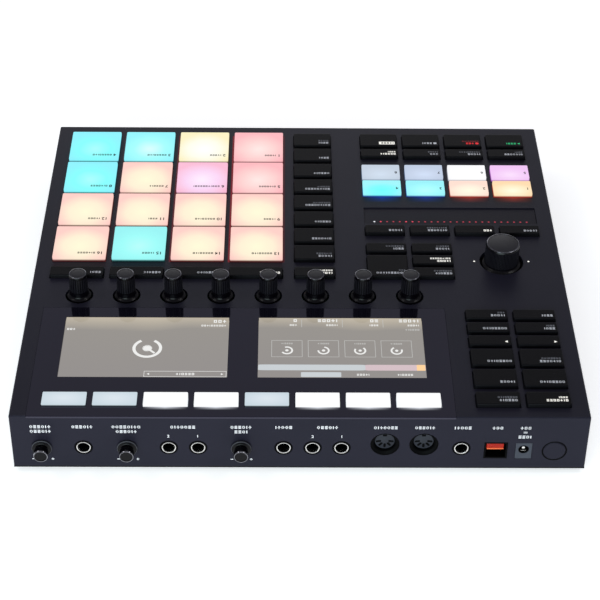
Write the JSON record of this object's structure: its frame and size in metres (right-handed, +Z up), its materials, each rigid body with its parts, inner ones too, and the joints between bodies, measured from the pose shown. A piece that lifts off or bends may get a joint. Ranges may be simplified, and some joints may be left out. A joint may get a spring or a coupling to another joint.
{
  "type": "pad controller",
  "caption": "Flat desktop controller with lit square pads, banks of keys, twin screens, a row of knobs, a tilting jog knob, a touch strip and a rear wall of sockets.",
  "frame": {"origin": "middle of the footprint, on the surface the feet stand on", "axes": "+X is the player's right, +Y is the rear with the sockets, +Z is up"},
  "size_m": [0.32, 0.301, 0.0573],
  "materials": {
    "case": "fine satin charcoal",
    "base": "matt black",
    "feet": "matt",
    "screw": "dark zinc",
    "panel": "satin black",
    "screen": "lit screen behind clear plastic",
    "board": "solder mask",
    "switch": "moulded",
    "strip": "satin",
    "pip": "lit window",
    "frame": "moulded",
    "steel": "ground",
    "knob": "soft touch",
    "socket": "moulded",
    "ring": "bright nickel",
    "inlet": "moulded",
    "key": "satin",
    "lit_key": "lit from below",
    "screen_key": "lit from below",
    "pad_peach": "translucent, lit from below",
    "pad_pink": "translucent, lit from below",
    "pad_cream": "translucent, lit from below",
    "pad_cyan": "translucent, lit from below"
  },
  "bodies": {
    "case": {"top_housing": "case", "base_plate": "base", "rubber_feet": "feet", "case_screws": "screw", "display_panel": "panel", "display_modules": "screen", "main_board": "board", "pad_sensor_board": "board", "key_switches": "switch", "touch_strip": "strip", "strip_leds": "pip", "encoder_bodies": "switch", "jog_base": "frame", "io_board": "board", "jack_sockets": "socket", "jack_rings": "ring", "midi_sockets": "socket", "usb_socket": "socket", "power_socket": "inlet", "rear_pots": "switch", "power_switch": "switch"},
    "knob_1": {"knob_1": "knob"},
    "knob_2": {"knob_2": "knob"},
    "knob_3": {"knob_3": "knob"},
    "knob_4": {"knob_4": "knob"},
    "knob_5": {"knob_5": "knob"},
    "knob_6": {"knob_6": "knob"},
    "knob_7": {"knob_7": "knob"},
    "knob_8": {"knob_8": "knob"},
    "pad_1": {"pad_1": "pad_pink"},
    "pad_2": {"pad_2": "pad_cream"},
    "pad_3": {"pad_3": "pad_cyan"},
    "pad_4": {"pad_4": "pad_cyan"},
    "pad_5": {"pad_5": "pad_pink"},
    "pad_6": {"pad_6": "pad_pink"},
    "pad_7": {"pad_7": "pad_peach"},
    "pad_8": {"pad_8": "pad_cyan"},
    "pad_9": {"pad_9": "pad_peach"},
    "pad_10": {"pad_10": "pad_peach"},
    "pad_11": {"pad_11": "pad_peach"},
    "pad_12": {"pad_12": "pad_peach"},
    "pad_13": {"pad_13": "pad_peach"},
    "pad_14": {"pad_14": "pad_peach"},
    "pad_15": {"pad_15": "pad_cyan"},
    "pad_16": {"pad_16": "pad_peach"},
    "control_keys": {"control_keys": "key"},
    "performance_keys": {"performance_keys": "key"},
    "group_keys": {"group_keys": "lit_key"},
    "transport_keys": {"transport_keys": "key"},
    "mode_keys": {"mode_keys": "key"},
    "pad_mode_keys": {"pad_mode_keys": "key"},
    "display_keys": {"display_keys": "screen_key"},
    "jog_rocker": {"jog_rocker": "frame"},
    "jog_cradle": {"jog_cradle": "frame"},
    "jog_shaft": {"jog_shaft": "steel"},
    "jog_knob": {"jog_knob": "knob"},
    "phones_knob": {"phones_knob": "knob"},
    "line_knob": {"line_knob": "knob"},
    "mic_knob": {"mic_knob": "knob"},
    "power_button": {"power_button": "case"}
  },
  "joints": [
    {"name": "pad_1_press", "type": "slide", "parent": "case", "child": "pad_1", "axis": [0, 0, -1], "range_m": [0, 0.0008], "stiffness_N_per_m": 2000, "springref_m": -0.0004},
    {"name": "pad_2_press", "type": "slide", "parent": "case", "child": "pad_2", "axis": [0, 0, -1], "range_m": [0, 0.0008], "stiffness_N_per_m": 2000, "springref_m": -0.0004},
    {"name": "pad_3_press", "type": "slide", "parent": "case", "child": "pad_3", "axis": [0, 0, -1], "range_m": [0, 0.0008], "stiffness_N_per_m": 2000, "springref_m": -0.0004},
    {"name": "pad_4_press", "type": "slide", "parent": "case", "child": "pad_4", "axis": [0, 0, -1], "range_m": [0, 0.0008], "stiffness_N_per_m": 2000, "springref_m": -0.0004},
    {"name": "pad_5_press", "type": "slide", "parent": "case", "child": "pad_5", "axis": [0, 0, -1], "range_m": [0, 0.0008], "stiffness_N_per_m": 2000, "springref_m": -0.0004},
    {"name": "pad_6_press", "type": "slide", "parent": "case", "child": "pad_6", "axis": [0, 0, -1], "range_m": [0, 0.0008], "stiffness_N_per_m": 2000, "springref_m": -0.0004},
    {"name": "pad_7_press", "type": "slide", "parent": "case", "child": "pad_7", "axis": [0, 0, -1], "range_m": [0, 0.0008], "stiffness_N_per_m": 2000, "springref_m": -0.0004},
    {"name": "pad_8_press", "type": "slide", "parent": "case", "child": "pad_8", "axis": [0, 0, -1], "range_m": [0, 0.0008], "stiffness_N_per_m": 2000, "springref_m": -0.0004},
    {"name": "pad_9_press", "type": "slide", "parent": "case", "child": "pad_9", "axis": [0, 0, -1], "range_m": [0, 0.0008], "stiffness_N_per_m": 2000, "springref_m": -0.0004},
    {"name": "pad_10_press", "type": "slide", "parent": "case", "child": "pad_10", "axis": [0, 0, -1], "range_m": [0, 0.0008], "stiffness_N_per_m": 2000, "springref_m": -0.0004},
    {"name": "pad_11_press", "type": "slide", "parent": "case", "child": "pad_11", "axis": [0, 0, -1], "range_m": [0, 0.0008], "stiffness_N_per_m": 2000, "springref_m": -0.0004},
    {"name": "pad_12_press", "type": "slide", "parent": "case", "child": "pad_12", "axis": [0, 0, -1], "range_m": [0, 0.0008], "stiffness_N_per_m": 2000, "springref_m": -0.0004},
    {"name": "pad_13_press", "type": "slide", "parent": "case", "child": "pad_13", "axis": [0, 0, -1], "range_m": [0, 0.0008], "stiffness_N_per_m": 2000, "springref_m": -0.0004},
    {"name": "pad_14_press", "type": "slide", "parent": "case", "child": "pad_14", "axis": [0, 0, -1], "range_m": [0, 0.0008], "stiffness_N_per_m": 2000, "springref_m": -0.0004},
    {"name": "pad_15_press", "type": "slide", "parent": "case", "child": "pad_15", "axis": [0, 0, -1], "range_m": [0, 0.0008], "stiffness_N_per_m": 2000, "springref_m": -0.0004},
    {"name": "pad_16_press", "type": "slide", "parent": "case", "child": "pad_16", "axis": [0, 0, -1], "range_m": [0, 0.0008], "stiffness_N_per_m": 2000, "springref_m": -0.0004},
    {"name": "control_keys_press", "type": "slide", "parent": "case", "child": "control_keys", "axis": [0, 0, -1], "range_m": [0, 0.0006], "stiffness_N_per_m": 4000, "springref_m": -0.0003},
    {"name": "performance_keys_press", "type": "slide", "parent": "case", "child": "performance_keys", "axis": [0, 0, -1], "range_m": [0, 0.0006], "stiffness_N_per_m": 4000, "springref_m": -0.0003},
    {"name": "group_keys_press", "type": "slide", "parent": "case", "child": "group_keys", "axis": [0, 0, -1], "range_m": [0, 0.0006], "stiffness_N_per_m": 4000, "springref_m": -0.0003},
    {"name": "transport_keys_press", "type": "slide", "parent": "case", "child": "transport_keys", "axis": [0, 0, -1], "range_m": [0, 0.0006], "stiffness_N_per_m": 4000, "springref_m": -0.0003},
    {"name": "mode_keys_press", "type": "slide", "parent": "case", "child": "mode_keys", "axis": [0, 0, -1], "range_m": [0, 0.0006], "stiffness_N_per_m": 4000, "springref_m": -0.0003},
    {"name": "pad_mode_keys_press", "type": "slide", "parent": "case", "child": "pad_mode_keys", "axis": [0, 0, -1], "range_m": [0, 0.0006], "stiffness_N_per_m": 4000, "springref_m": -0.0003},
    {"name": "display_keys_press", "type": "slide", "parent": "case", "child": "display_keys", "axis": [0, 0, -1], "range_m": [0, 0.0006], "stiffness_N_per_m": 4000, "springref_m": -0.0003},
    {"name": "knob_1_turn", "type": "hinge", "parent": "case", "child": "knob_1", "pos_m": [-0.06581, 0.0344, 0.05], "axis": [0, 0, 1], "continuous": true},
    {"name": "knob_2_turn", "type": "hinge", "parent": "case", "child": "knob_2", "pos_m": [-0.03773, 0.0344, 0.05], "axis": [0, 0, 1], "continuous": true},
    {"name": "knob_3_turn", "type": "hinge", "parent": "case", "child": "knob_3", "pos_m": [-0.00965, 0.0344, 0.05], "axis": [0, 0, 1], "continuous": true},
    {"name": "knob_4_turn", "type": "hinge", "parent": "case", "child": "knob_4", "pos_m": [0.01843, 0.0344, 0.05], "axis": [0, 0, 1], "continuous": true},
    {"name": "knob_5_turn", "type": "hinge", "parent": "case", "child": "knob_5", "pos_m": [0.04651, 0.0344, 0.05], "axis": [0, 0, 1], "continuous": true},
    {"name": "knob_6_turn", "type": "hinge", "parent": "case", "child": "knob_6", "pos_m": [0.07459, 0.0344, 0.05], "axis": [0, 0, 1], "continuous": true},
    {"name": "knob_7_turn", "type": "hinge", "parent": "case", "child": "knob_7", "pos_m": [0.10267, 0.0344, 0.05], "axis": [0, 0, 1], "continuous": true},
    {"name": "knob_8_turn", "type": "hinge", "parent": "case", "child": "knob_8", "pos_m": [0.13075, 0.0344, 0.05], "axis": [0, 0, 1], "continuous": true},
    {"name": "phones_knob_turn", "type": "hinge", "parent": "case", "child": "phones_knob", "pos_m": [0.1433, 0.1425, 0.018], "axis": [0, 1, 0], "range_deg": [-150, 150]},
    {"name": "line_knob_turn", "type": "hinge", "parent": "case", "child": "line_knob", "pos_m": [0.09596, 0.1425, 0.018], "axis": [0, 1, 0], "range_deg": [-150, 150]},
    {"name": "mic_knob_turn", "type": "hinge", "parent": "case", "child": "mic_knob", "pos_m": [0.03264, 0.1425, 0.018], "axis": [0, 1, 0], "range_deg": [-150, 150]},
    {"name": "jog_tilt_back", "type": "hinge", "parent": "case", "child": "jog_rocker", "pos_m": [-0.12375, -0.0005, 0.033], "axis": [1, 0, 0], "range_deg": [-4, 4], "stiffness_Nm_per_rad": 0.5},
    {"name": "jog_tilt_side", "type": "hinge", "parent": "jog_rocker", "child": "jog_cradle", "pos_m": [-0.12375, -0.0005, 0.033], "axis": [0, 1, 0], "range_deg": [-4, 4], "stiffness_Nm_per_rad": 0.5},
    {"name": "jog_press", "type": "slide", "parent": "jog_cradle", "child": "jog_shaft", "axis": [0, 0, -1], "range_m": [0, 0.0005], "stiffness_N_per_m": 1500, "springref_m": -0.0005},
    {"name": "jog_turn", "type": "hinge", "parent": "jog_shaft", "child": "jog_knob", "pos_m": [-0.12375, -0.0005, 0.033], "axis": [0, 0, 1], "continuous": true},
    {"name": "power_button_press", "type": "slide", "parent": "case", "child": "power_button", "axis": [0, -1, 0], "range_m": [0, 0.0015], "stiffness_N_per_m": 800, "springref_m": -0.0005}
  ]
}
